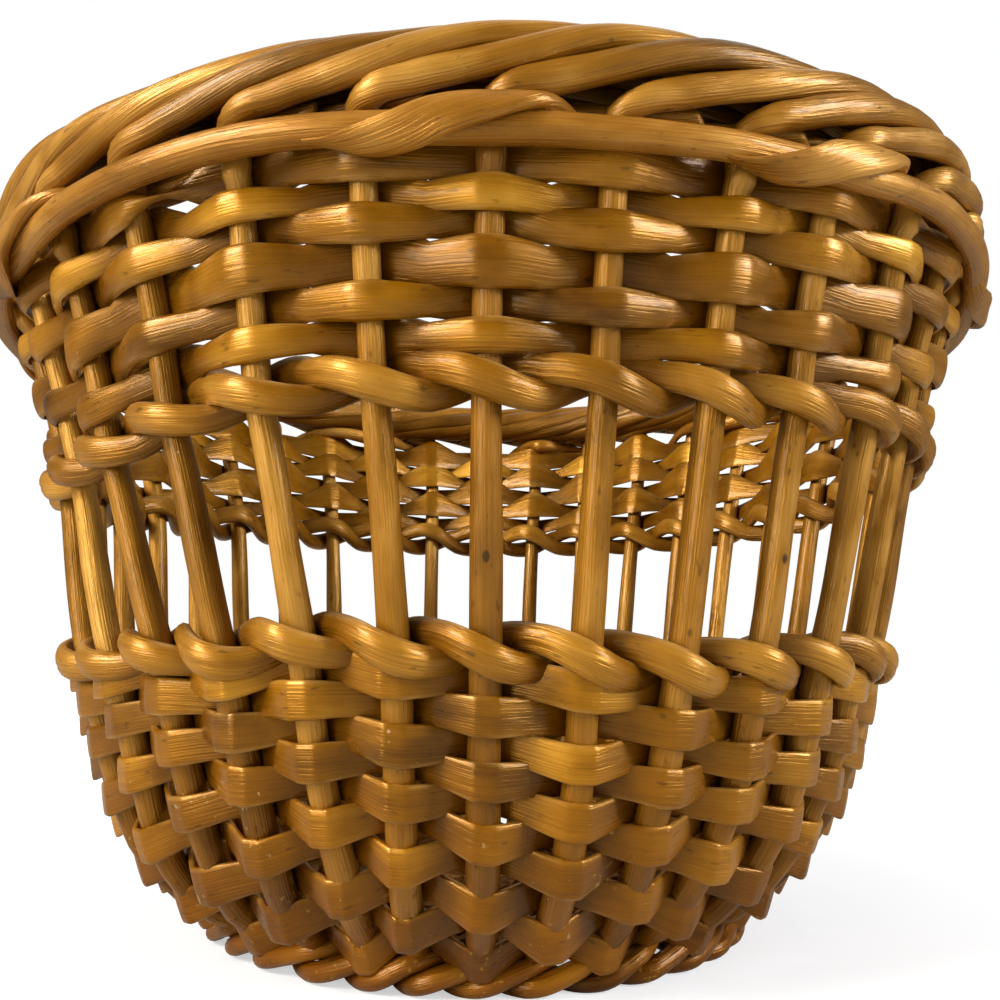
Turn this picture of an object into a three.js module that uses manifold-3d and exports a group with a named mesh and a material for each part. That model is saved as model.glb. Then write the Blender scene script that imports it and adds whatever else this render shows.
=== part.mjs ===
// Round wicker planter basket of varnished willow, in millimetres, standing on its foot ring at z = 0.
// Round stakes rise from the foot, lean out and bend over into a rolled border. Split rods are woven
// round them in a lower and an upper band, and two rows of twining bound the open band between.
// Angles start at the front (-Y) and grow to the right, and one pitch is the angle between two stakes.

import * as THREE from "three";
import { mergeVertices } from "three/addons/utils/BufferGeometryUtils.js";
import Module from "manifold-3d";

// Clearance between neighbouring rods
const GAP = 0.3;

// Stakes: two stand beside each base stick, pointed at the butt and thinning towards the tip
const STAKE_PAIRS = 17;
const STAKE_POINT_RADIUS = 1.1;
const STAKE_FULL_RADIUS = 2.2;
const STAKE_RIM_RADIUS = 1.75;
const STAKE_TIP_RADIUS = 1.55;
const STAKE_POINTED_HEIGHT = 10;

// Wall, as heights and radii of the stakes' middle lines. The heel flares from the foot, and the upper
// band reaches from the rim down to its twining.
const BUTT_HEIGHT = 1;
const FOOT_RADIUS = 45.6;
const HEEL_HEIGHT = 8;
const HEEL_FLARE = 6.2;
const BELLY_HEIGHT = 24;
const BELLY_RADIUS = 65;
const LOWER_TWINE_HEIGHT = 47.6;
const LOWER_TWINE_RADIUS = 72.5;
const RIM_HEIGHT = 108.2;
const RIM_RADIUS = 87;
const UPPER_BAND_HEIGHT = 28.8;
const UPPER_TWINE_RADIUS = 79;

// Foot ring and twining: pairs of round rods that change places between the stakes
const FOOT_ROD_RADIUS = 1.5;
const FOOT_FLAT_DEPTH = 0.5;
const TWINE_ROD_RADIUS = 1.6;
const SHOULDER_SHARE = 0.35;

// Split rods woven in front of one stake and behind the next, with their shares of the band from its top
const SPLIT_THICKNESS = 1.2;
const LOWER_ROW_SHARES = [0.75, 0.95, 0.95, 0.85, 0.85, 0.9, 1.15, 1.3, 1.25, 1.2];
const UPPER_ROW_SHARES = [0.65, 0.8, 0.95, 1.3, 1, 0.95];
const UPPER_ROW_SWELL_SHARE = 0.25;
const UPPER_ROW_GAP = 0.4;
const UPPER_ROWS_OVER_TWINE = 1.5;

// Border: a pair of rods under the roll, wrapped round each other at some stakes, and the rolled tips
const BORDER_ROD_RADIUS = 2.1;
const BORDER_CROSSING_RADIUS = 1.45;
const WRAP_STEP_COUNTS = [3, 4, 4, 4, 3, 4, 4, 3, 5];
const ROLL_RADIUS = 4.4;
const ROLL_INSET = 0.9;
const ROLL_START_ANGLE = THREE.MathUtils.degToRad(-45);
const ROLL_TURN_ANGLE = THREE.MathUtils.degToRad(62);
const ROLL_PITCH_COUNT = 4;
const ELBOW_SHARE = 0.45;
const BEND_SHARE = 0.1;
const BEND_RISE_SHARE = 0.6;

// Base: crossed sticks with one flat rod woven outwards in a spiral
const BASE_HEIGHT = 5;
const BASE_STICK_RADIUS = 1.6;
const BASE_WEAVER_WIDTH = 2.9;
const BASE_WEAVER_THICKNESS = 1.2;
const BASE_ROUND_COUNT = 5;
const BASE_ROUND_SPACING = 3.4;

const HEEL_RADIUS = FOOT_RADIUS + HEEL_FLARE;
const UPPER_TWINE_HEIGHT = RIM_HEIGHT - UPPER_BAND_HEIGHT;
const STAKE_COUNT = 2 * STAKE_PAIRS;
const PITCH = (2 * Math.PI) / STAKE_COUNT;
const UP = new THREE.Vector3(0, 0, 1);

const WILLOW = {
  stake: new THREE.MeshStandardMaterial({ color: 0xa5803c, roughness: 0.38 }),
  split: new THREE.MeshStandardMaterial({ color: 0xb8762f, roughness: 0.34 }),
  twine: new THREE.MeshStandardMaterial({ color: 0xb98539, roughness: 0.36 }),
  border: new THREE.MeshStandardMaterial({ color: 0xb07a36, roughness: 0.36 }),
  base: new THREE.MeshStandardMaterial({ color: 0x8f6530, roughness: 0.45 }),
};

const wasm = await Module();
wasm.setup();

// A point at a radius from the basket's axis, a place counted in pitches, and a height.
function around(radius, place, height) {
  const angle = place * PITCH;
  return new THREE.Vector3(radius * Math.sin(angle), -radius * Math.cos(angle), height);
}

// Half the side of the square with the same area as a round rod's section.
function squaredHalf(radius) {
  return (radius * Math.sqrt(Math.PI)) / 2;
}

// A closed body lofted through equal rings of corners. A loop meets itself, and any other gets ends.
function loft(rings, isLoop) {
  const sides = rings[0].length;
  const index = [];
  const spans = isLoop ? rings.length : rings.length - 1;
  for (let span = 0; span < spans; span++) {
    const here = span * sides;
    const next = ((span + 1) % rings.length) * sides;
    for (let side = 0; side < sides; side++) {
      const after = (side + 1) % sides;
      index.push(here + side, here + after, next + after);
      index.push(here + side, next + after, next + side);
    }
  }
  if (!isLoop) {
    const last = (rings.length - 1) * sides;
    for (let side = 1; side < sides - 1; side++) {
      index.push(0, side + 1, side);
      index.push(last, last + side, last + side + 1);
    }
  }
  const geometry = new THREE.BufferGeometry();
  const corners = rings.flat().flatMap((corner) => corner.toArray());
  geometry.setAttribute("position", new THREE.Float32BufferAttribute(corners, 3));
  geometry.setIndex(index);
  geometry.computeVertexNormals();
  return geometry;
}

// A rod swept through stations { at, lay, width, thickness }: lay points along the section's width.
// Four sides give a flat rod's rectangle, and any other number a round one's polygon.
function sweep(stations, sides, isLoop) {
  const count = stations.length;
  const corner = sides === 4 ? Math.SQRT2 : 1;
  const turn = sides === 4 ? Math.PI / 4 : 0;
  const rings = stations.map((station, i) => {
    const before = isLoop ? (i + count - 1) % count : Math.max(i - 1, 0);
    const after = isLoop ? (i + 1) % count : Math.min(i + 1, count - 1);
    const ahead = stations[after].at.clone().sub(stations[before].at).normalize();
    const wide = station.lay.clone().addScaledVector(ahead, -station.lay.dot(ahead)).normalize();
    const deep = ahead.clone().cross(wide);
    return Array.from({ length: sides }, (_, side) => {
      const angle = turn + (side * 2 * Math.PI) / sides;
      return station.at
        .clone()
        .addScaledVector(wide, (station.width / 2) * corner * Math.cos(angle))
        .addScaledVector(deep, (station.thickness / 2) * corner * Math.sin(angle));
    });
  });
  return loft(rings, isLoop);
}

// A named mesh of one rod.
function rodMesh(name, geometry, material) {
  const mesh = new THREE.Mesh(geometry, material);
  mesh.name = name;
  return mesh;
}

// A geometry as a solid that can be joined and cut.
function solidOf(geometry) {
  const bare = geometry.clone();
  bare.deleteAttribute("normal");
  bare.deleteAttribute("uv");
  const merged = mergeVertices(bare, 1e-4);
  return new wasm.Manifold(
    new wasm.Mesh({
      numProp: 3,
      vertProperties: merged.attributes.position.array,
      triVerts: new Uint32Array(merged.index.array),
    }),
  );
}

// A solid as a geometry again.
function geometryOf(solid) {
  const { vertProperties, triVerts } = solid.getMesh();
  const geometry = new THREE.BufferGeometry();
  geometry.setAttribute("position", new THREE.Float32BufferAttribute(vertProperties, 3));
  geometry.setIndex(Array.from(triVerts));
  geometry.computeVertexNormals();
  return geometry;
}

// Foot ring: its lowest crossings would reach FOOT_FLAT_DEPTH under the ground, and are flat there.
const FOOT_ROD_HALF = squaredHalf(FOOT_ROD_RADIUS);
const FOOT_SLANT = FOOT_ROD_HALF + GAP / 2;
const FOOT_RING_HEIGHT = FOOT_SLANT + FOOT_ROD_HALF - FOOT_FLAT_DEPTH;
const FOOT_RING_TOP = FOOT_RING_HEIGHT + FOOT_ROD_HALF;
const ANKLE_HEIGHT = FOOT_RING_TOP + FOOT_SLANT / 2;

// Wall: the stakes are straight between these stations, so that the rows can follow the same line.
const WALL = wallStations();

function wallStations() {
  const named = [
    [FOOT_RADIUS, BUTT_HEIGHT],
    [FOOT_RADIUS, ANKLE_HEIGHT],
    [HEEL_RADIUS, HEEL_HEIGHT],
    [BELLY_RADIUS, BELLY_HEIGHT],
    [LOWER_TWINE_RADIUS, LOWER_TWINE_HEIGHT],
    [UPPER_TWINE_RADIUS, UPPER_TWINE_HEIGHT],
    [RIM_RADIUS, RIM_HEIGHT],
  ].map(([radius, height]) => new THREE.Vector3(radius, 0, height));
  const curve = new THREE.CatmullRomCurve3(named, false, "centripetal");
  const shares = [0, 1, 2, 2.5, 3, 4, 5, 6].map((stop) => stop / (named.length - 1));
  let length = 0;
  let previous = named[0];
  return shares.map((share) => {
    const point = curve.getPoint(share);
    length += point.distanceTo(previous);
    previous = point;
    return { radius: point.x, height: point.z, length };
  });
}

// The place on the wall where a measure, such as its height or its length from the butt, has a value.
function wallWhere(measure, value) {
  const found = WALL.findIndex((station, i) => i > 0 && value <= station[measure]);
  const last = found < 0 ? WALL.length - 1 : found;
  const low = WALL[last - 1];
  const high = WALL[last];
  const share = (value - low[measure]) / (high[measure] - low[measure]);
  const span = high.length - low.length;
  return {
    radius: THREE.MathUtils.lerp(low.radius, high.radius, share),
    height: THREE.MathUtils.lerp(low.height, high.height, share),
    length: THREE.MathUtils.lerp(low.length, high.length, share),
    lean: (high.radius - low.radius) / span,
    rise: (high.height - low.height) / span,
  };
}

function stakeRadiusAt(height) {
  if (height < STAKE_POINTED_HEIGHT) {
    const share = Math.max(height - BUTT_HEIGHT, 0) / (STAKE_POINTED_HEIGHT - BUTT_HEIGHT);
    return THREE.MathUtils.lerp(STAKE_POINT_RADIUS, STAKE_FULL_RADIUS, share);
  }
  const share = (height - STAKE_POINTED_HEIGHT) / (RIM_HEIGHT - STAKE_POINTED_HEIGHT);
  return THREE.MathUtils.lerp(STAKE_FULL_RADIUS, STAKE_RIM_RADIUS, Math.min(share, 1));
}

// A station beside the wall: out of it by an offset, and up along it by a shift.
function besideWall(spot, place, offset, shift, width, thickness) {
  const radius = spot.radius + offset * spot.rise + shift * spot.lean;
  const height = spot.height - offset * spot.lean + shift * spot.rise;
  const angle = place * PITCH;
  const lay = new THREE.Vector3(spot.lean * Math.sin(angle), -spot.lean * Math.cos(angle), spot.rise);
  return { at: around(radius, place, height), lay, width, thickness };
}

// How far the middle of a woven rod stands off the line of what it is woven round, so that its straight
// run to the other side of the next one clears it. reach is half of that one and the clearance.
function weaveOffset(spacing, reach, halfThickness, sag) {
  let offset = reach + halfThickness;
  for (let pass = 0; pass < 30; pass++) {
    offset = reach * Math.hypot(1, (2 * offset + sag) / spacing) + halfThickness;
  }
  return offset;
}

// Border pair: the two rods cross at these heights, above and below their common one.
const CROSSING_HALF = squaredHalf(BORDER_CROSSING_RADIUS);
const CROSSING_RISE = CROSSING_HALF + GAP / 2;
const PAIR_TOP = RIM_HEIGHT + CROSSING_RISE + CROSSING_HALF;
const PAIR_BOTTOM = RIM_HEIGHT - CROSSING_RISE - CROSSING_HALF;
const ROLL_HEIGHT = PAIR_TOP + 2 * GAP + STAKE_RIM_RADIUS - ROLL_RADIUS * Math.sin(ROLL_START_ANGLE);

// One stake from its point up the wall, behind the pair, out at the roll's foot and on along the roll.
function stake(number) {
  const first = number - 1;
  const out = around(1, first, 0);
  const stations = WALL.map(({ radius, height }) => ({
    at: around(radius, first, height),
    lay: out,
    width: 2 * stakeRadiusAt(height),
    thickness: 2 * stakeRadiusAt(height),
  }));
  const elbowHeight = ROLL_HEIGHT + ROLL_RADIUS * Math.sin(ROLL_START_ANGLE);
  const bendHeight = THREE.MathUtils.lerp(RIM_HEIGHT, elbowHeight, BEND_RISE_SHARE);
  stations.push({
    at: around(RIM_RADIUS, first + BEND_SHARE, bendHeight),
    lay: out,
    width: 2 * STAKE_RIM_RADIUS,
    thickness: 2 * STAKE_RIM_RADIUS,
  });
  for (let step = 0; step <= ROLL_PITCH_COUNT; step++) {
    const turn = ROLL_START_ANGLE + step * ROLL_TURN_ANGLE;
    const place = first + ELBOW_SHARE + step;
    const radius = RIM_RADIUS - ROLL_INSET + ROLL_RADIUS * Math.cos(turn);
    const height = ROLL_HEIGHT + ROLL_RADIUS * Math.sin(turn);
    const share = step / ROLL_PITCH_COUNT;
    const thick = 2 * THREE.MathUtils.lerp(STAKE_RIM_RADIUS, STAKE_TIP_RADIUS, share);
    stations.push({ at: around(radius, place, height), lay: around(1, place, 0), width: thick, thickness: thick });
  }
  return rodMesh(`stake_${String(number).padStart(2, "0")}`, sweep(stations, 5, false), WILLOW.stake);
}

// One of a pair of round rods that go behind every other stake. They slant over each stake, and pass
// above and below each other between the stakes. slant is positive where they climb to the right.
function twineRod(spot, rodRadius, firstInFront, slant) {
  const half = squaredHalf(rodRadius);
  const sag = spot.radius * (1 - Math.cos(SHOULDER_SHARE * PITCH));
  const offset = stakeRadiusAt(spot.height + half) + GAP + half + sag;
  const climb = Math.sign(slant) * (half + GAP / 2);
  const stations = [];
  for (let passed = 0; passed < STAKE_COUNT; passed++) {
    const side = (passed % 2 === 0) === firstInFront ? 1 : -1;
    for (const end of [-1, 1]) {
      const place = passed + end * SHOULDER_SHARE;
      stations.push(besideWall(spot, place, side * offset, side * end * climb, 2 * half, 2 * half));
    }
  }
  return sweep(stations, 4, true);
}

function twinePair(name, height) {
  const spot = wallWhere("height", height);
  return [
    rodMesh(`${name}_a`, twineRod(spot, TWINE_ROD_RADIUS, true, -1), WILLOW.twine),
    rodMesh(`${name}_b`, twineRod(spot, TWINE_ROD_RADIUS, false, -1), WILLOW.twine),
  ];
}

// The foot ring's two rods, worn flat where they touch the ground.
function footPair() {
  const spot = { ...wallWhere("height", FOOT_RING_HEIGHT), lean: 0, rise: 1 };
  return ["a", "b"].map((letter) => {
    const rod = twineRod(spot, FOOT_ROD_RADIUS, letter === "a", 1);
    const corners = rod.getAttribute("position");
    for (let i = 0; i < corners.count; i++) {
      corners.setZ(i, Math.max(corners.getZ(i), 0));
    }
    return rodMesh(`foot_rod_${letter}`, rod, WILLOW.border);
  });
}

// A split rod woven round the whole wall, wider by a share where it bulges in front of a stake.
function splitRod(length, width, swell, firstInFront) {
  const spot = wallWhere("length", length);
  const spacing = 2 * spot.radius * Math.sin(PITCH / 2);
  const reach = stakeRadiusAt(spot.height) + GAP;
  const sag = spot.radius * (1 - Math.cos(PITCH));
  const offset = weaveOffset(spacing, reach, SPLIT_THICKNESS / 2, sag);
  const stations = [];
  for (let passed = 0; passed < STAKE_COUNT; passed++) {
    const side = (passed % 2 === 0) === firstInFront ? 1 : -1;
    const wide = width * (1 + side * swell);
    stations.push(besideWall(spot, passed, side * offset, 0, wide, SPLIT_THICKNESS));
  }
  return sweep(stations, 4, true);
}

// Rows that share the wall between two lengths, from the top down, by their shares of it.
function rowsBetween(bottom, top, shares, makeRow) {
  const total = shares.reduce((sum, share) => sum + share, 0);
  let edge = top;
  return shares.map((share, i) => {
    const room = ((top - bottom) * share) / total;
    edge -= room;
    return makeRow(edge + room / 2, room, i);
  });
}

function lowerRows() {
  const heel = wallWhere("height", HEEL_HEIGHT);
  const standOff = stakeRadiusAt(HEEL_HEIGHT) + GAP + SPLIT_THICKNESS / 2;
  const bottom = wallWhere("height", FOOT_RING_TOP + GAP + standOff * heel.lean).length;
  const twineHalf = squaredHalf(TWINE_ROD_RADIUS);
  const top = wallWhere("height", LOWER_TWINE_HEIGHT).length - 2 * twineHalf - GAP;
  return rowsBetween(bottom, top, LOWER_ROW_SHARES, (middle, room, i) =>
    rodMesh(
      `lower_row_${String(i + 1).padStart(2, "0")}`,
      splitRod(middle, room - GAP, 0, i % 2 === 1),
      WILLOW.split,
    ),
  );
}

function upperRows() {
  const twineHalf = squaredHalf(TWINE_ROD_RADIUS);
  const twine = wallWhere("height", UPPER_TWINE_HEIGHT).length;
  const bottom = twine + 2 * twineHalf + UPPER_ROWS_OVER_TWINE;
  const top = wallWhere("height", PAIR_BOTTOM).length - GAP;
  return rowsBetween(bottom, top, UPPER_ROW_SHARES, (middle, room, i) => {
    const geometry = splitRod(middle, room - UPPER_ROW_GAP, UPPER_ROW_SWELL_SHARE, i % 2 === 1);
    return rodMesh(`upper_row_${i + 1}`, geometry, WILLOW.split);
  });
}

// The stakes where the pair under the roll is wrapped.
function wrapStakes() {
  const wraps = [];
  let passed = 0;
  for (const step of WRAP_STEP_COUNTS) {
    wraps.push(passed);
    passed += step;
  }
  return wraps.filter((wrap) => wrap <= STAKE_COUNT - 3);
}

// One rod of the pair under the roll. The main rod lies outside the stakes and the other inside. At a
// wrap the other comes out low before the stake, climbs over its front and goes in high behind it.
function borderRod(isMain) {
  const half = squaredHalf(BORDER_ROD_RADIUS);
  const thin = CROSSING_HALF;
  const offset = STAKE_RIM_RADIUS + GAP + half + RIM_RADIUS * (1 - Math.cos(SHOULDER_SHARE * PITCH));
  const wraps = wrapStakes();
  const home = isMain ? 1 : -1;
  const stations = [];
  const add = (place, side, rise, halfSize) => {
    const at = around(RIM_RADIUS + side * offset, place, RIM_HEIGHT + rise);
    stations.push({ at, lay: UP, width: 2 * halfSize, thickness: 2 * halfSize });
  };
  for (let passed = 0; passed < STAKE_COUNT; passed++) {
    if (!wraps.includes(passed)) {
      add(passed, home, 0, half);
      continue;
    }
    add(passed - 1 + SHOULDER_SHARE, home, home * CROSSING_RISE, thin);
    add(passed - SHOULDER_SHARE, -home, home * CROSSING_RISE, thin);
    if (!isMain) {
      add(passed, -home, 0, half);
    }
    add(passed + SHOULDER_SHARE, -home, -home * CROSSING_RISE, thin);
    add(passed + 1 - SHOULDER_SHARE, home, -home * CROSSING_RISE, thin);
  }
  return sweep(stations, 4, true);
}

function borderPair() {
  return [
    rodMesh("border_rod_outer", borderRod(true), WILLOW.border),
    rodMesh("border_rod_inner", borderRod(false), WILLOW.border),
  ];
}

// The base's outer edge lies inside the foot ring's inner rods.
function baseRadius() {
  const sag = FOOT_RADIUS * (1 - Math.cos(SHOULDER_SHARE * PITCH));
  return FOOT_RADIUS - stakeRadiusAt(FOOT_RING_HEIGHT) - 2 * GAP - 2 * FOOT_ROD_HALF - sag;
}

// Sticks crossed at the middle, one between the two stakes of each pair.
function baseSticks() {
  const thick = 2 * squaredHalf(BASE_STICK_RADIUS);
  let joined = null;
  for (let stick = 0; stick < STAKE_PAIRS; stick++) {
    const place = 2 * stick + 0.5;
    const stations = [0, baseRadius()].map((radius) => ({
      at: around(radius, place, BASE_HEIGHT),
      lay: UP,
      width: thick,
      thickness: thick,
    }));
    const solid = solidOf(sweep(stations, 4, false));
    joined = joined ? joined.add(solid) : solid;
  }
  return rodMesh("base_sticks", geometryOf(joined), WILLOW.base);
}

// One flat rod woven over and under the sticks, outwards to the base's edge.
function baseWeaver() {
  const reach = squaredHalf(BASE_STICK_RADIUS) * Math.SQRT2 + GAP;
  const outer = baseRadius() - BASE_WEAVER_WIDTH / 2;
  const stations = [];
  const passes = BASE_ROUND_COUNT * STAKE_PAIRS;
  for (let pass = 0; pass <= passes; pass++) {
    const radius = outer - ((passes - pass) / STAKE_PAIRS) * BASE_ROUND_SPACING;
    const spacing = 2 * radius * Math.sin(PITCH);
    const offset = weaveOffset(spacing, reach, BASE_WEAVER_THICKNESS / 2, 0);
    const side = pass % 2 === 0 ? 1 : -1;
    const place = 2 * pass + 0.5;
    stations.push({
      at: around(radius, place, BASE_HEIGHT + side * offset),
      lay: around(1, place, 0),
      width: BASE_WEAVER_WIDTH,
      thickness: BASE_WEAVER_THICKNESS,
    });
  }
  return rodMesh("base_weaver", sweep(stations, 4, false), WILLOW.base);
}

const basket = new THREE.Group();
for (let number = 1; number <= STAKE_COUNT; number++) {
  basket.add(stake(number));
}
basket.add(...upperRows(), ...twinePair("upper_twine", UPPER_TWINE_HEIGHT));
basket.add(...twinePair("lower_twine", LOWER_TWINE_HEIGHT), ...lowerRows());
basket.add(...footPair(), ...borderPair(), baseSticks(), baseWeaver());

export default basket;
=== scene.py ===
"""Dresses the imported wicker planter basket: every rod of willow is modelled, varnished and lit.

Sizes are in millimetres up to the moment a mesh is made, and places are counted in stakes: place 0 is
the stake at the front (-Y), and places grow to the right, so that one place is one pitch.
"""

import logging
import math
from dataclasses import dataclass
from enum import Enum
from functools import cached_property, partial

import bpy
import numpy as np
from mathutils import Matrix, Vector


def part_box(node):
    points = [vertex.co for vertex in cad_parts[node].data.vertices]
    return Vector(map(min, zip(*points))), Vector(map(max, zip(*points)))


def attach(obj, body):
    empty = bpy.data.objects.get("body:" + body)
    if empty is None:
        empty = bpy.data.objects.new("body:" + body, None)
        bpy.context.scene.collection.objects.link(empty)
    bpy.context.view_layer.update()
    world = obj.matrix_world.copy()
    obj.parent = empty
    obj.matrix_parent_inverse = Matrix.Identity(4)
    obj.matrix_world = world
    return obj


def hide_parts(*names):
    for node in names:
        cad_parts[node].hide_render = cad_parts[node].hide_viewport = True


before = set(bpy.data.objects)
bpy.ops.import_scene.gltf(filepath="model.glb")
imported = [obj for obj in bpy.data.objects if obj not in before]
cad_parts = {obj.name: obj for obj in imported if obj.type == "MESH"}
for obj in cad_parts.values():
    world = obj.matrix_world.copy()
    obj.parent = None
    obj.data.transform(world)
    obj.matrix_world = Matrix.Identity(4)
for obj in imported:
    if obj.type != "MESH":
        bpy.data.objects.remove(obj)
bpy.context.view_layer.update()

Array = np.ndarray
Pairs = tuple[tuple[float, float], ...]
Rows = tuple[tuple[float, ...], ...]
Colour = tuple[float, float, float, float]
Piece = bpy.types.Object
Socket = bpy.types.NodeSocket
MM = 0.001
UP = np.array([0.0, 0.0, 1.0])
WHITE = (1.0, 1.0, 1.0, 1.0)
log = logging.getLogger("basket")


def hermite(knots: Array, values: Array, wanted: Array) -> Array:
    """Reads a smooth curve through points.

    Args:
        knots: Rising positions of the points, one number each.
        values: The points, one row each.
        wanted: Positions to read.

    Returns:
        One row of the curve for each wanted position.
    """
    slopes = np.gradient(values, knots, axis=0)
    span = np.clip(np.searchsorted(knots, wanted, side="right") - 1, 0, len(knots) - 2)
    step = (knots[span + 1] - knots[span])[:, None]
    share = ((wanted - knots[span]) / (knots[span + 1] - knots[span]))[:, None]
    low, high = values[span], values[span + 1]
    rise = 3 * share**2 - 2 * share**3
    leave = share * (1 - share) ** 2 * step * slopes[span]
    arrive = share**2 * (share - 1) * step * slopes[span + 1]
    return low + (high - low) * rise + leave + arrive


def profile(points: Pairs, wanted: Array) -> Array:
    """Reads straight lines through points, each a position and a value."""
    return np.interp(wanted, *np.transpose(points))


def lengths(points: Array) -> Array:
    """Measures the steps from each point to the next."""
    return np.linalg.norm(np.diff(points, axis=0), axis=1)


def running(steps: Array) -> Array:
    """Adds up steps, from zero."""
    return np.concatenate([[0.0], np.cumsum(steps)])


def unit(rows: Array) -> Array:
    """Scales each row to a length of one."""
    return rows / np.linalg.norm(rows, axis=1, keepdims=True)


def hump(places: Array, middle: float, reach: float) -> Array:
    """Gives a smooth hump: 1 in its middle, and next to nothing two reaches away."""
    return np.exp(-(((places - middle) / reach) ** 2))


def drift(rng: np.random.Generator, places: Array, laps: float, slow: int, fast: int) -> Array:
    """Makes a smooth seeded wander that meets itself after a number of places.

    Args:
        rng: Seeded source of the wander.
        places: Where to read it.
        laps: Places after which it repeats.
        slow: Least number of waves in one repeat.
        fast: Greatest number of waves in one repeat.

    Returns:
        Numbers around zero, nearly all between -1 and 1.
    """
    waves = np.arange(slow, fast + 1)
    phases = rng.uniform(0, 2 * math.pi, len(waves))
    sizes = rng.uniform(0.4, 1.0, len(waves))
    turns = 2 * math.pi * np.outer(places / laps, waves) + phases
    usual_peak = 1.1 * math.sqrt(len(waves))
    return (np.sin(turns) * sizes).sum(axis=1) / usual_peak


def mirrored(face: Pairs, under: Pairs) -> Pairs:
    """Completes an outline from the right half of its face and, from the middle, of its underside."""
    return face + tuple((-x, y) for x, y in face[-2::-1] + under[:0:-1]) + under


class Section(Enum):
    """Outlines of a rod's cross-section, as shares of its half width and half thickness."""

    ROUND = tuple(
        (math.cos(2 * math.pi * side / 14), math.sin(2 * math.pi * side / 14)) for side in range(14)
    )
    SPLIT = mirrored(
        ((1.0, -0.25), (0.97, 0.12), (0.84, 0.5), (0.6, 0.78), (0.3, 0.95), (0.0, 1.0)),
        ((0.0, -0.6), (0.4, -0.58), (0.86, -0.52)),
    )
    FLAT = mirrored(
        ((1.0, -0.2), (0.99, 0.35), (0.93, 0.72), (0.75, 0.88), (0.38, 0.97), (0.0, 1.0)),
        ((0.0, -0.95), (0.45, -0.9), (0.95, -0.75)),
    )
    LEAF = (
        (1.0, -0.1), (0.9, 0.4), (0.68, 0.74), (0.38, 0.95), (0.08, 1.0), (-0.12, 0.9), (-0.42, 0.88),
        (-0.72, 0.66), (-0.92, 0.36), (-1.0, -0.1), (-0.84, -0.6), (-0.4, -0.85), (0.0, -0.9),
        (0.4, -0.85), (0.84, -0.6),
    )


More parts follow.
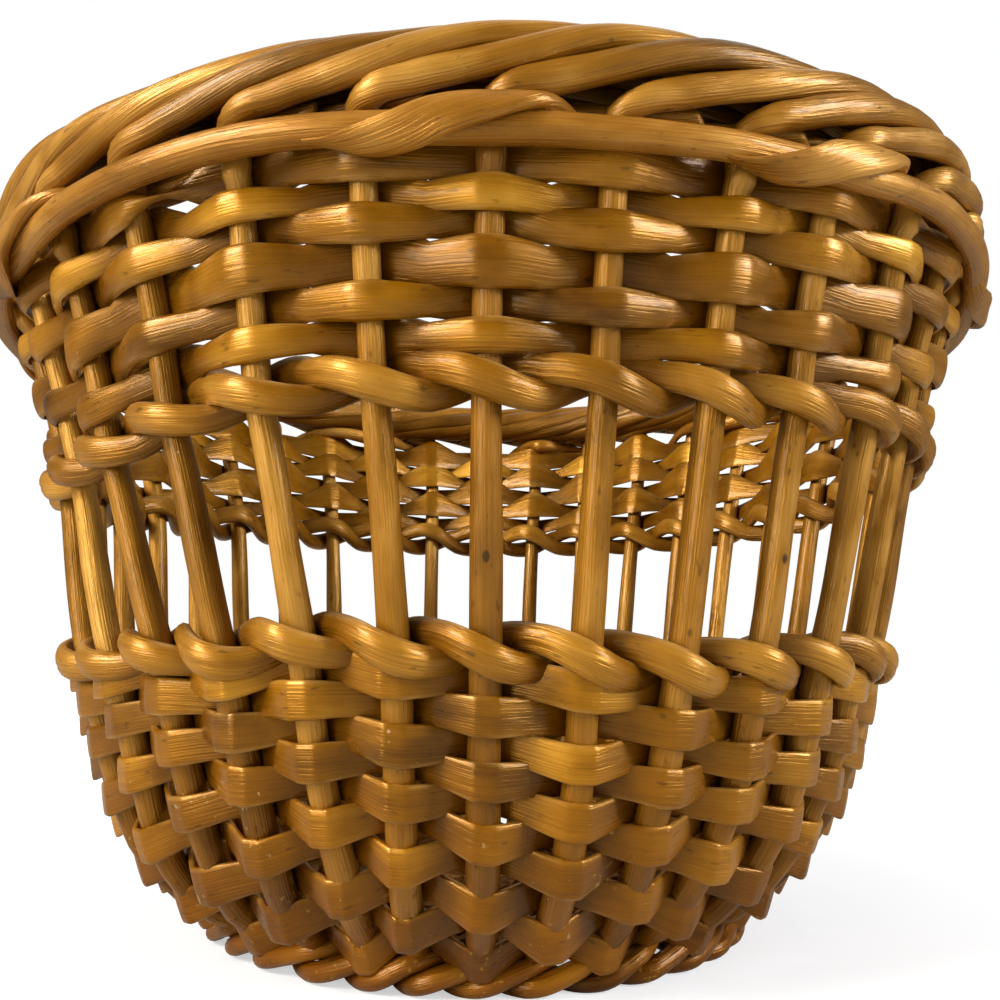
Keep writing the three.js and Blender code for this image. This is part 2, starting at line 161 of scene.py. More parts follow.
@dataclass(frozen=True)
class Settling:
    """How the basket has settled out of its round shape, by place and height.

    Each table has a row for each height, and in it a value for each place, in tenths: how far that
    spot has risen (mm), turned to the right round the axis (degrees) and moved out (mm).
    """

    places: tuple[float, ...] = (-17, -12, -8.5, -6, -5, -4, -3, -2, -1, 0, 1, 2, 3, 4, 5, 6, 8.5, 12, 17)
    heights: tuple[int, ...] = (3, 10, 18, 26, 34, 44, 80, 92, 104, 112, 119)
    risen: Rows = (
        (0,) * 19,
        (0, 0, -3, -8, -8, -2, 2, 12, 8, 2, -1, 12, 12, 8, 8, 6, 3, 0, 0),
        (0, 0, -5, -14, -14, 5, 0, 8, 8, 3, -4, 3, 2, 4, 10, 8, 4, 0, 0),
        (0, 0, 5, 10, 16, 17, 23, 16, 15, 2, -7, -4, 6, 7, 16, 12, 5, 0, 0),
        (0, 0, 5, 15, 23, 30, 20, 20, 11, 2, -9, -6, -8, 8, 12, 10, 5, 0, 0),
        (0, 0, -5, -10, -12, 5, -7, 13, 5, -1, -7, -20, -10, -5, 4, 4, 3, 0, 0),
        (22, 6, -32, -46, -48, -44, -20, -7, 1, -1, 5, 8, 14, 34, 40, 40, 30, 24, 22),
        (22, 7, -28, -40, -44, -28, -9, 2, -1, -1, -5, 10, 18, 39, 45, 43, 31, 24, 22),
        (22, 8, -23, -30, -30, -16, -8, 3, -2, -1, -3, 12, 25, 44, 48, 45, 32, 24, 22),
        (22, 9, -15, -20, -20, -18, -14, -4, 0, 0, 0, 10, 25, 40, 46, 44, 32, 24, 22),
        (16, 7, -16, -20, -16, -14, -20, -14, -9, -2, 11, 16, 29, 45, 46, 42, 28, 18, 16),
    )
    turned: Rows = (
        *((0, 0, 5, 10, 15, 15, 35, 37, 13, 11, 2, 10, 0, 10, 10, 5, 0, 0, 0),) * 2,
        (0, 0, 10, 25, 35, 44, 52, 46, 20, 10, 2, -3, -10, 5, 5, 3, 0, 0, 0),
        (0, 3, 20, 40, 50, 56, 52, 42, 24, 9, 0, -10, -8, 0, 3, 0, 0, 0, 0),
        (0, 3, 20, 40, 46, 50, 46, 34, 23, 8, 0, -5, -7, 0, 4, 2, 0, 0, 0),
        (0, 3, 20, 40, 46, 50, 45, 30, 22, 8, -1, -3, -5, 3, 5, 3, 0, 0, 0),
        (0, 0, -8, -16, -20, -18, -11, -3, 4, 2, 3, 6, 8, 30, 34, 20, 10, 0, 0),
        (0, 0, -10, -22, -28, -26, -15, -2, 3, 1, -2, 4, 1, 22, 26, 18, 10, 0, 0),
        *((0, 0, -10, -22, -28, -26, -15, -3, 3, 1, -4, 3, -3, 12, 15, 10, 5, 0, 0),) * 3,
    )
    moved_out: Rows = (
        *((0,) * 19,) * 6,
        *((0, -10, -18, -18, -16, -12, -6, 0, 0, 0, 0, 0, 4, 10, 14, 16, 15, 8, 0),) * 2,
        (0, 0, -5, -5, -5, -3, 0, 0, 0, 0, 0, 2, 8, 14, 20, 22, 18, 10, 0),
        *((0, 0, 6, 8, 8, 6, 3, 0, 0, 0, 0, 4, 14, 24, 28, 26, 14, 4, 0),) * 2,
    )

    def read(self, table: Rows, places: Array, heights: Array) -> Array:
        """Reads a table, smoothly round the basket and in straight lines up it.

        Args:
            table: One of the tables.
            places: Place of each spot.
            heights: Height of each spot.

        Returns:
            One value for each spot.
        """
        half_way = self.places[-1]
        around = np.mod(places + half_way, 2 * half_way) - half_way
        at_levels = hermite(np.array(self.places, dtype=float), np.array(table).T / 10, around)
        level = np.clip(np.searchsorted(self.heights, heights) - 1, 0, len(self.heights) - 2)
        low, high = np.array(self.heights)[level], np.array(self.heights)[level + 1]
        share = np.clip((heights - low) / (high - low), 0, 1)
        rows = np.arange(len(places))
        return at_levels[rows, level] * (1 - share) + at_levels[rows, level + 1] * share


@dataclass(frozen=True)
class Wall:
    """The line that the stakes follow, from their butts to the rim. Named spots are radius and height.

    Inside the still radius is the base, which stays as it was made. Outside the settled one the
    settling has its whole effect.
    """

    stake_count: int = 34
    butt_height: float = 1.0
    foot_radius: float = 45.6
    ankle_height: float = 4.4
    heel: tuple[float, float] = (51.8, 8.0)
    belly: tuple[float, float] = (65.0, 24.0)
    lower_twine: tuple[float, float] = (72.5, 47.6)
    upper_twine: tuple[float, float] = (79.0, 79.4)
    rim: tuple[float, float] = (87.0, 108.2)
    station_count: int = 240
    lean_reach: float = 2.5
    still_radius: float = 34.0
    settled_radius: float = 44.0
    settling: Settling = Settling()

    @property
    def pitch(self) -> float:
        """Angle between two stakes, in radians."""
        return 2 * math.pi / self.stake_count

    def line(self) -> tuple[Array, Array]:
        """Lays stations along the wall, from the foot to the rim.

        Returns:
            The rising heights of the stations, and the radius at each.
        """
        foot = (self.foot_radius, self.butt_height), (self.foot_radius, self.ankle_height)
        named = np.array([*foot, self.heel, self.belly, self.lower_twine, self.upper_twine, self.rim])
        knots = running(np.sqrt(lengths(named)))
        smooth = hermite(knots, named, np.linspace(0, knots[-1], self.station_count))
        heights = np.maximum.accumulate(smooth[:, 1] + np.arange(self.station_count) * 1e-6)
        return heights, np.maximum(smooth[:, 0], self.foot_radius)

    def spot(self, height: float) -> tuple[float, float, float]:
        """Looks up the wall at one height.

        Args:
            height: Height of the spot.

        Returns:
            The radius there, and how far the wall leans out and rises along one millimetre of itself.
        """
        above, below = height + self.lean_reach, max(height - self.lean_reach, self.butt_height)
        radius, high, low = np.interp([height, above, below], *self.line()).tolist()
        run = math.hypot(high - low, above - below)
        return radius, (high - low) / run, (above - below) / run

    def outward(self, places: Array) -> Array:
        """Gives the level directions that point away from the axis at the places."""
        angles = places * self.pitch
        return np.stack([np.sin(angles), -np.cos(angles), np.zeros(len(places))], axis=1)

    def around(self, places: Array, radii: Array, heights: Array) -> Array:
        """Points at places round the axis, as the basket has settled.

        Args:
            places: Place of each point.
            radii: Distance of each point from the axis.
            heights: Height of each point.

        Returns:
            One row of coordinates for each point.
        """
        radii = np.broadcast_to(radii, places.shape)
        heights = np.broadcast_to(heights, places.shape)
        share = np.clip((radii - self.still_radius) / (self.settled_radius - self.still_radius), 0, 1)
        tables = (self.settling.turned, self.settling.risen, self.settling.moved_out)
        turned, risen, out = (share * self.settling.read(table, places, heights) for table in tables)
        angles = places * self.pitch + np.radians(turned)
        away = radii + out
        return np.stack([away * np.sin(angles), -away * np.cos(angles), heights + risen], axis=1)

    def woven(self, places: Array, height: float, offset: Array, shift: Array) -> Array:
        """Points near one height of the wall.

        Args:
            places: Place of each point.
            height: The height.
            offset: How far each point stands off the wall.
            shift: How far each lies up the wall.

        Returns:
            One row of coordinates for each point.
        """
        radius, lean, rise = self.spot(height)
        radii = radius + offset * rise + shift * lean
        return self.around(places, radii, height - offset * lean + shift * rise)


def paint(hexadecimal: str) -> Colour:
    """Turns a written colour into the one that a shader takes.

    Args:
        hexadecimal: The colour as it is written, such as a07a40.

    Returns:
        Its linear red, green, blue and alpha.
    """
    shown = [int(hexadecimal[i : i + 2], 16) / 255 for i in (0, 2, 4)]
    linear = [c / 12.92 if c <= 0.04045 else ((c + 0.055) / 1.055) ** 2.4 for c in shown]
    return linear[0], linear[1], linear[2], 1.0


class Graph:
    """The node graph of one material."""

    def __init__(self, name: str) -> None:
        """Starts an empty material.

        Args:
            name: Name of the material.
        """
        self.material = bpy.data.materials.new(name)
        self.material.use_nodes = True
        self.tree = self.material.node_tree
        self.tree.nodes.clear()

    def node(self, kind: str, inputs: dict, **settings: object) -> bpy.types.Node:
        """Adds a node.

        Args:
            kind: Blender's name of the node type.
            inputs: What each socket gets, by name or number: another node's socket or a plain value.
            **settings: Properties of the node.

        Returns:
            The new node.
        """
        made = self.tree.nodes.new(kind)
        for name, value in settings.items():
            setattr(made, name, value)
        for socket, value in inputs.items():
            if isinstance(value, bpy.types.NodeSocket):
                self.tree.links.new(value, made.inputs[socket])
            else:
                made.inputs[socket].default_value = value
        return made

    def maths(self, operation: str, first: object, second: object) -> Socket:
        """Joins two numbers by a Math node's operation."""
        return self.node("ShaderNodeMath", {0: first, 1: second}, operation=operation).outputs[0]

    def ranged(self, value: object, low: float, high: float, start: float, end: float) -> Socket:
        """Maps a number from low..high to start..end, clamped."""
        inputs = {0: value, 1: low, 2: high, 3: start, 4: end}
        return self.node("ShaderNodeMapRange", inputs).outputs[0]

    def mixed(self, share: object, first: object, second: object, blend: str = "MIX") -> Socket:
        """Mixes two colours by a share."""
        inputs = {0: share, 6: first, 7: second}
        return self.node("ShaderNodeMix", inputs, data_type="RGBA", blend_type=blend).outputs[2]

    def stretched(self, grain: Socket, along: float, across: float) -> Socket:
        """Scales the coordinates in the straightened rod, along it and across it."""
        inputs = {0: grain, 1: (along, across, across)}
        return self.node("ShaderNodeVectorMath", inputs, operation="MULTIPLY").outputs[0]

    def noise(self, place: Socket, scale: float, detail: float) -> Socket:
        """Makes noise around one half, at a scale and with octaves of finer noise."""
        inputs = {"Vector": place, "Scale": scale, "Detail": detail}
        return self.node("ShaderNodeTexNoise", inputs).outputs[0]

    def fibres(self, grain: Socket, along: float, across: float, detail: float) -> Socket:
        """Makes noise stretched along the grain, by its frequencies per metre along and across."""
        return self.noise(self.stretched(grain, along, across), 1.0, detail)

    def mark(self, name: str, output: str = "Vector") -> Socket:
        """Reads one of the marks that the rods' meshes carry."""
        return self.node("ShaderNodeAttribute", {}, attribute_name=name).outputs[output]

    def spot(self) -> Socket:
        """Gives the coordinates of each spot, in metres."""
        return self.node("ShaderNodeTexCoord", {}).outputs["Object"]

    def split(self, vector: Socket) -> bpy.types.bpy_prop_collection:
        """Gives the three parts of a vector."""
        return self.node("ShaderNodeSeparateXYZ", {0: vector}).outputs


@dataclass(frozen=True)
class WillowFinish:
    """Varnished willow: its colours from dark to light, how red it can turn, its gloss and its marks.

    Each grain gives the frequency of a noise along and across the rod, per metre, and its octaves.
    The crevice shade is the share of each colour left by the painted shade between two rods and behind
    stakes.
    """

    name: str
    slot: str
    dark: str
    middle: str
    light: str
    red: str
    roughness: float = 0.3
    metallic: float = 0.3
    coat: float = 0.12
    streaks: float = 0.12
    mottling: float = 0.3
    fibre_depth: float = 0.0002
    specks: float = 0.5
    bloom: float = 0.4
    broad_grain: tuple[float, float, float] = (20.0, 420.0, 3.0)
    fine_grain: tuple[float, float, float] = (80.0, 3600.0, 3.0)
    mottle_grain: tuple[float, float, float] = (110.0, 240.0, 2.0)
    speck_grain: tuple[float, float, float] = (420.0, 1100.0, 1.0)
    wear_grain: tuple[float, float, float] = (150.0, 300.0, 3.0)
    knot_grain: tuple[float, float] = (85.0, 130.0)
    # Painted shade: the share of red, green and blue left where a rod's shade mark is darkest.
    crevice_shade: tuple[float, float, float] = (0.3, 0.2, 0.06)
    # Painted shade towards the bottom: the colour that the lowest part is multiplied by, and the heights over
    # which it fades.
    low_shade: Colour = (0.62, 0.47, 0.06, 1.0)
    low_shade_heights: tuple[float, float] = (0.002, 0.045)
    gloss: Colour = (1.0, 0.8, 0.34, 1.0)

    @cached_property
    def material(self) -> bpy.types.Material:
        """The material, made when it is first asked for.

        Returns:
            The varnished willow.
        """
        graph = Graph(self.name)
        grain, marks = graph.mark("grain"), graph.split(graph.mark("tone_and_shade"))
        broad, fine = graph.fibres(grain, *self.broad_grain), graph.fibres(grain, *self.fine_grain)
        mottle = graph.fibres(grain, *self.mottle_grain)
        colour = self.wood_colour(graph, marks, broad, fine, mottle)
        colour = self.blemishes(graph, grain, colour)
        colour, white = self.varnish_bloom(graph, colour)
        # Painted shade: the lowest part of the basket is made darker and yellower.
        low = graph.ranged(graph.split(graph.spot())[2], *self.low_shade_heights, 0.0, 1.0)
        colour = graph.mixed(1.0, colour, graph.mixed(low, self.low_shade, WHITE), "MULTIPLY")
        # Painted shade from the rods' shade marks, darkest between rods and behind stakes.
        parts = {n: graph.ranged(marks[2], 0.0, 1.0, dark, 1.0) for n, dark in enumerate(self.crevice_shade)}
        shadow = graph.node("ShaderNodeCombineColor", parts).outputs[0]
        colour = graph.mixed(1.0, colour, shadow, "MULTIPLY")
        gloss = graph.maths("ADD", graph.ranged(mottle, 0.3, 0.7, -0.07, 0.09), self.roughness)
        roughness = graph.maths("ADD", gloss, graph.maths("MULTIPLY", white, 0.25))
        height = graph.maths("ADD", fine, graph.maths("MULTIPLY", broad, 0.8))
        bump = graph.node("ShaderNodeBump", {"Strength": 1.0, "Distance": self.fibre_depth, "Height": height})
        shader = graph.node("ShaderNodeBsdfPrincipled", {
            "Base Color": colour, "Roughness": roughness, "Normal": bump.outputs[0],
            "Metallic": self.metallic, "Specular IOR Level": 0.4, "Specular Tint": self.gloss,
            "Coat Weight": self.coat, "Coat Roughness": 0.14,
        })
        graph.node("ShaderNodeOutputMaterial", {0: shader.outputs[0]})
        return graph.material

    def wood_colour(
        self, graph: Graph, marks: bpy.types.bpy_prop_collection, broad: Socket, fine: Socket, mottle: Socket
    ) -> Socket:
        """Mixes the colour of clean wood.

        Args:
            graph: The material's graph.
            marks: The rod's tone, redness and shade.
            broad: The broad streaks.
            fine: The fine fibres.
            mottle: The soft patches.

        Returns:
            The colour.
        """
        tone = marks[0]
        for texture, strength in ((broad, self.streaks), (fine, self.streaks), (mottle, self.mottling)):
            tone = graph.maths("ADD", tone, graph.ranged(texture, 0.25, 0.75, -strength / 2, strength / 2))
        ramp = graph.node("ShaderNodeValToRGB", {0: tone})
        stops = ramp.color_ramp.elements
        stops[0].position, stops[0].color = 0.08, paint(self.dark)
        stops[1].position, stops[1].color = 0.92, paint(self.light)
        stops.new(0.5).color = paint(self.middle)
        redness = graph.maths("ADD", marks[1], graph.ranged(mottle, 0.3, 0.7, -0.15, 0.15))
        redder = graph.mixed(0.85, ramp.outputs[0], paint(self.red))
        return graph.mixed(graph.ranged(redness, 0.0, 1.0, 0.0, 1.0), ramp.outputs[0], redder)

    def blemishes(self, graph: Graph, grain: Socket, colour: Socket) -> Socket:
        """Adds knots, dark specks, and pale edges that are partly wear and partly a painted highlight.

        Args:
            graph: The material's graph.
            grain: The coordinates in the straightened rod.
            colour: The colour so far.

        Returns:
            The colour.
        """
        place = graph.stretched(grain, *self.knot_grain)
        cell = graph.node("ShaderNodeTexVoronoi", {"Vector": place, "Scale": 1.0}).outputs
        chosen = graph.maths("GREATER_THAN", cell["Color"], 0.56)
        knot = graph.maths("MULTIPLY", graph.ranged(cell["Distance"], 0.045, 0.08, 1.8, 0.0), chosen)
        specks = graph.ranged(graph.fibres(grain, *self.speck_grain), 0.7, 0.76, 0.0, 1.0)
        spots = graph.maths("MAXIMUM", knot, specks)
        colour = graph.mixed(graph.maths("MULTIPLY", spots, self.specks), colour, paint("2a1504"))
        # Pale edges: partly wear, partly a painted highlight where light catches the rods' edges.
        worn = graph.ranged(graph.fibres(grain, *self.wear_grain), 0.42, 0.62, 0.0, 0.4)
        return graph.mixed(graph.maths("MULTIPLY", graph.mark("edge", "Fac"), worn), colour, paint("d6a860"))

    def varnish_bloom(self, graph: Graph, colour: Socket) -> tuple[Socket, Socket]:
        """Adds the pale flakes where old varnish has lifted, mostly low on the basket.

        Args:
            graph: The material's graph.
            colour: The colour so far.

        Returns:
            The colour, and how pale each spot is.
        """
        place = graph.spot()
        low = graph.ranged(graph.split(place)[2], 0.004, 0.045, 0.1, 0.0)
        patch, flakes = graph.noise(place, 90.0, 1.0), graph.noise(place, 900.0, 3.0)
        worn = graph.maths("ADD", graph.maths("MULTIPLY", patch, 0.3), graph.maths("MULTIPLY", flakes, 0.7))
        white = graph.ranged(graph.maths("ADD", worn, low), 0.71, 0.755, 0.0, self.bloom)
        return graph.mixed(white, colour, paint("d9c39a")), white


@dataclass
class Rod:
    """One rod of willow: the stations of its middle line, its half sizes, how it has aged and its painted
    shade.
    """

    name: str
    section: Section
    at: Array
    lay: Array
    half_width: Array
    half_depth: Array
    is_loop: bool
    seed: int
    tone: Array
    redness: Array
    shade: Array
    inner_shade: Array | None = None
    cut: float = 0.0
    lumps: float = 0.03
    end_lift: float = 0.3
    end_size: float = 0.72
    underside: float = -0.3
    grain_room: float = 9.0
    sharp_angle: float = 58.0

    def __post_init__(self) -> None:
        """Shades the inner face like the outer one where nothing else is said."""
        if self.inner_shade is None:
            self.inner_shade = self.shade.copy()

    def directions(self) -> tuple[Array, Array, Array]:
        """Finds the directions at each station.

        Returns:
            Directions along the rod, across its width and through its thickness.
        """
        if self.is_loop:
            steps = np.roll(self.at, -1, axis=0) - np.roll(self.at, 1, axis=0)
        else:
            steps = np.gradient(self.at, axis=0)
        ahead = unit(steps)
        wide = unit(self.lay - ahead * (self.lay * ahead).sum(axis=1, keepdims=True))
        return ahead, wide, np.cross(ahead, wide)

    def round_ends(self) -> None:
        """Adds a last short station at both ends, so that a cut end has a worn edge."""
        ahead, _, _ = self.directions()
        lift = self.end_lift * np.minimum(self.half_width, self.half_depth)
        first = self.at[0] - ahead[0] * lift[0]
        last = self.at[-1] + ahead[-1] * lift[-1]
        self.at = np.vstack([first, self.at, last])
        self.lay = np.vstack([self.lay[0], self.lay, self.lay[-1]])
        smaller = {"half_width": self.end_size, "half_depth": self.end_size}
        for name in (*smaller, "tone", "redness", "shade", "inner_shade"):
            values, size = getattr(self, name), smaller.get(name, 1.0)
            setattr(self, name, np.concatenate([values[:1] * size, values, values[-1:] * size]))

    def faces(self, count: int, sides: int) -> list[list[int]]:
        """Joins the rings of corners into faces that look outwards.

        Args:
            count: Number of rings.
            sides: Corners in each ring.

        Returns:
            The corners of each face.
        """
        ring = np.arange(count - 1)[:, None] * sides
        following = ring + sides
        side = np.arange(sides)[None, :]
        after = (side + 1) % sides
        quads = np.stack([ring + side, ring + after, following + after, following + side], axis=-1)
        found = quads.reshape(-1, 4).tolist()
        if not self.is_loop:
            middle, last = count * sides, (count - 1) * sides
            for corner in range(sides):
                beside = (corner + 1) % sides
                found.append([middle, beside, corner])
                found.append([middle + 1, last + corner, last + beside])
        return found

    def lumpy(self, rng: np.random.Generator, count: int, sides: int) -> Array:
        """Gives each corner a share of its size near one, so that no rod is perfectly smooth.

        Args:
            rng: Seeded source of the lumps.
            count: Number of rings.
            sides: Corners in each ring.

        Returns:
            A table of shares, rings by corners.
        """
        stations = np.arange(count, dtype=float)
        top = max(count // 9, 3)
        along = np.stack([drift(rng, stations, count, 2, top) for _ in range(3)], axis=1)
        turns = 2 * math.pi * np.arange(sides) / sides
        around = np.stack([np.ones(sides), np.cos(turns), np.sin(turns)])
        return 1 + self.lumps * (along @ around) / 1.7

    def build(self, finish: WillowFinish, nodes: list[str]) -> Piece:
        """Makes the rod's mesh, with the marks that its finish reads, and hands it to the frame.

        Args:
            finish: Its finish.
            nodes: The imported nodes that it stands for.

        Returns:
            The finished piece.
        """
        rng = np.random.default_rng(self.seed)
        if not self.is_loop:
            self.round_ends()
        ahead, wide, deep = self.directions()
        outline = np.array(self.section.value)
        count, sides = len(self.at), len(outline)
        lumps = self.lumpy(rng, count, sides)
        across = outline[None, :, 0] * self.half_width[:, None] * lumps
        through = outline[None, :, 1] * self.half_depth[:, None] * lumps
        corners = self.at[:, None] + wide[:, None] * across[..., None] + deep[:, None] * through[..., None]
        corners[-2:] += ahead[-1] * (across[-2:, :, None] * self.cut)
        order = np.append(np.arange(count), [0] * self.is_loop).astype(int)
        corners, across, through = corners[order].reshape(-1, 3), across[order], through[order]
        run = np.broadcast_to(running(lengths(self.at[order]))[:, None], across.shape)
        grain = np.stack([run, across, through], axis=-1).reshape(-1, 3) * MM
        grain = grain + rng.uniform(0, self.grain_room, 3)
        # Tone, redness and painted shade for each corner; faces that look inward take the inner painted
        # shade.
        tone_and_shade = np.stack([self.tone, self.redness, self.shade], axis=1)[order].repeat(sides, axis=0)
        looks_in = np.tile(outline[:, 1] < self.underside, len(order))
        tone_and_shade[looks_in, 2] = self.inner_shade[order].repeat(sides)[looks_in]
        # Edge mark for the pale edges, which are partly wear and partly a painted highlight.
        at_edge = np.clip(np.abs(outline[:, 0]) * 4 - 3, 0, 1) * (self.section is not Section.ROUND)
        edge = np.tile(at_edge, len(order))
        if not self.is_loop:
            corners = np.vstack([corners, self.at[0], corners[-sides:].mean(axis=0)])
            grain, tone_and_shade = (np.vstack([marks, marks[0], marks[-1]]) for marks in (grain, tone_and_shade))
            edge = np.append(edge, [1.0, 1.0])
        mesh = bpy.data.meshes.new(self.name)
        mesh.from_pydata((corners * MM).tolist(), [], self.faces(len(order), sides))
        for name, marks in (("grain", grain), ("tone_and_shade", tone_and_shade)):
            mesh.attributes.new(name, "FLOAT_VECTOR", "POINT").data.foreach_set("vector", marks.ravel())
        mesh.attributes.new("edge", "FLOAT", "POINT").data.foreach_set("value", edge)
        mesh.shade_smooth()
        mesh.set_sharp_from_angle(angle=math.radians(self.sharp_angle))
        mesh.materials.append(finish.material)
        piece = bpy.data.objects.new(self.name, mesh)
        bpy.context.collection.objects.link(piece)
        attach(piece, "root")
        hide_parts(*nodes)
        log.info("%s: %d corners, stands for %s", self.name, len(corners), ", ".join(nodes))
        return piece


@dataclass
class RolledStakes:
    """The upright stakes. Each rises up the wall, bends over the border pair and winds round the roll.

    The bend is given by places from the stake's own, radii and heights, and by how far the section has
    turned there, in degrees. Tables of pairs have such a place, or a height, before each value: the
    roll's radius, the half thickness, how far the section is flattened, the painted shade on it (1 for
    none), how much a strand swings and how its tone changes.
    """

    wall: Wall
    finish: WillowFinish
    point_radius: float = 1.1
    full_radius: float = 2.2
    rim_radius: float = 1.75
    pointed_height: float = 10.0
    roll_height: float = 116.7
    roll_inset: float = 0.9
    roll_start: float = -51.0
    roll_turn: float = 47.5
    inner_turn: float = 42.0
    first_place: float = 0.06
    elbow_places: float = 0.12
    inner_places: float = 4.04
    trimmed_places: float = 4.6
    tip_places: float = 7.84
    winding_step: float = 0.3
    bend: Rows = ((0.0, 86.7, 105.5), (0.0, 86.9, 108.0), (-0.01, 87.3, 109.8), (0.0, 88.3, 111.2))
    bend_turns: tuple[float, ...] = (90, 90, 75, 40)
    easing_turns: tuple[float, ...] = (50, 20, 5)
    arms: Pairs = ((0.1, 5.9), (0.64, 4.75), (3.7, 4.5), (4.7, 4.1), (5.7, 3.8), (7.0, 3.6), (7.84, 4.7))
    halves: Pairs = (
        (-0.04, 1.75), (0.0, 1.9), (0.35, 1.8), (1.35, 1.8), (2.75, 1.85), (4.25, 1.8), (7.7, 1.25),
    )
    spreads: Pairs = ((0.1, 1.0), (0.6, 1.08), (3.5, 1.12), (4.4, 1.35), (6.9, 1.3), (7.6, 1.0))
    # Painted shade on the roll: 1 where a strand lies in the open, darker where other strands hide it.
    roll_shades: Pairs = (
        (0, 1), (0.02, 0.8), (0.05, 0.95), (0.1, 1), (3.5, 1), (4.4, 0.45), (6.9, 0.45), (7.4, 0.95),
    )
    sways: Pairs = ((5, 0), (30, 0.022), (95, 0.022), (106, 0))
    swings: Pairs = ((0, 0), (0.2, 0.15), (0.8, 0.35), (5, 0.35))
    tones: Pairs = ((0, 0), (0.1, 0.12), (0.6, -0.04))
    seed: int = 1000

    def radius_at(self, heights: Array) -> Array:
        """Sizes a stake, which is pointed at the butt and thins towards the rim.

        Args:
            heights: Heights to read it at.

        Returns:
            Half thickness at each height.
        """
        butt, rim = self.wall.butt_height, self.wall.rim[1]
        sizes = [self.point_radius, self.full_radius, self.rim_radius]
        return np.interp(heights, [butt, self.pointed_height, rim], sizes)

    def turns(self, places: Array) -> Array:
        """Winds a stake's end round the roll, steeper inside.

        Args:
            places: Places from the stake's own.

        Returns:
            The angle round the roll at each, in radians.
        """
        outer = self.roll_turn * (np.minimum(places, self.inner_places) - self.first_place)
        inner = self.inner_turn * np.maximum(places - self.inner_places, 0)
        return np.radians(self.roll_start + outer + inner)

    def tail(self) -> tuple[Array, Array, Array, Array, Array]:
        """Works out the bent part, from the rim to the trimmed tip.

        Returns:
            Places from the stake's own, radii, heights, half thicknesses and turns of the section.
        """
        centre = self.wall.rim[0] - self.roll_inset
        winding = np.arange(self.elbow_places, self.tip_places, self.winding_step)
        turns = self.turns(winding)
        eased = len(self.easing_turns)
        easing = turns[:eased] + np.radians(self.easing_turns)
        spins = np.concatenate([np.radians(self.bend_turns), easing, turns[eased:]])
        arms = profile(self.arms, winding)
        coil = [winding, centre + arms * np.cos(turns), self.roll_height + arms * np.sin(turns)]
        points = np.vstack([self.bend, np.stack(coil, axis=1)])
        knots = running(lengths(points * np.array([self.wall.pitch * centre, 1.0, 1.0])))
        stations = np.concatenate([np.arange(0, 20, 0.9), np.arange(20, knots[-1], 1.5)])
        places, radii, heights = hermite(knots, points, stations).T
        return places, radii, heights, profile(self.halves, places), np.interp(stations, knots, spins)

    def build(self) -> list[Piece]:
        """Builds every stake.

        Returns:
            One piece for each stake, in the order of their places.
        """
        heights, radii = self.wall.line()
        upright = np.concatenate([[self.wall.butt_height, 2.6, 4.2], np.arange(5.6, 105.0, 2.2)])
        places, tail_radii, tail_heights, tail_half, tail_spins = self.tail()
        all_heights = np.concatenate([upright, tail_heights])
        all_radii = np.concatenate([np.interp(upright, heights, radii), tail_radii])
        all_half = np.concatenate([self.radius_at(upright), tail_half])
        spin = np.concatenate([np.full(len(upright), math.pi / 2), tail_spins])[:, None]
        stations = np.arange(len(all_heights))
        made = []
        for number in range(self.wall.stake_count):
            rng = np.random.default_rng(self.seed + number)
            wander = partial(drift, rng, stations, len(stations))
            trimmed = rng.uniform(-0.07, 0.02) * np.maximum(places - self.trimmed_places, 0)
            along = np.concatenate([np.zeros(len(upright)), places + trimmed])
            shift = wander(1, 4) * profile(self.sways, all_heights)
            lift = profile(self.swings, along) * drift(rng, along + 9.0 * number, 6.0, 1, 4)
            at = self.wall.around(number + along + shift, all_radii + lift * 0.5, all_heights + lift)
            lay = UP * np.cos(spin) - self.wall.outward(number + along) * np.sin(spin)
            half = all_half * (1 + 0.05 * wander(3, 12)) * rng.uniform(0.98, 1.06)
            tone = 0.5 + rng.uniform(-0.12, 0.14) + 0.14 * wander(1, 7) + profile(self.tones, along)
            redness = np.clip(rng.uniform(-0.15, 0.25) + 0.2 * drift(rng, along, 7.0, 1, 3), 0, 1)
            spread = profile(self.spreads, along)
            rod = Rod(
                f"rolled_stake_{number + 1:02d}", Section.ROUND, at, lay, half * spread, half / spread, False,
                2 * self.seed + number, tone, redness, profile(self.roll_shades, along),
                cut=rng.uniform(-1.1, 1.1),
            )
            made.append(rod.build(self.finish, [f"stake_{number + 1:02d}"]))
        return made


def bulge(places: Array, first_in_front: bool, bend: float, flat: float = 0.0) -> Array:
    """Works out how a rod weaves: round each stake in a bend, and straight between two.

    Args:
        places: Where to read it.
        first_in_front: Whether it passes in front of the stake at place 0.
        bend: Share of a pitch over which it bends on each side of a stake.
        flat: Share of a pitch over which it lies flat before it bends.

    Returns:
        The share of its greatest offset, positive in front.
    """
    nearest = np.round(places)
    away = np.maximum(np.abs(places - nearest) - flat, 0.0)
    half = 0.5 - flat
    steep = 1 / (bend * (2 * half - bend))
    share = np.where(away < bend, 1 - steep * away**2, 2 * steep * bend * (half - away))
    side = np.where(np.mod(nearest, 2) == 0, 1.0, -1.0) * (1 if first_in_front else -1)
    return share * side


def weave_shade(share: Array) -> Array:
    """Gives the painted shade of a face by how far it stands out of the weave: 1 in front of a stake, dark
    behind one.
    """
    rise = np.clip((share + 0.35) / 1.15, 0, 1)
    return 0.42 + 0.58 * rise * rise * (3 - 2 * rise)


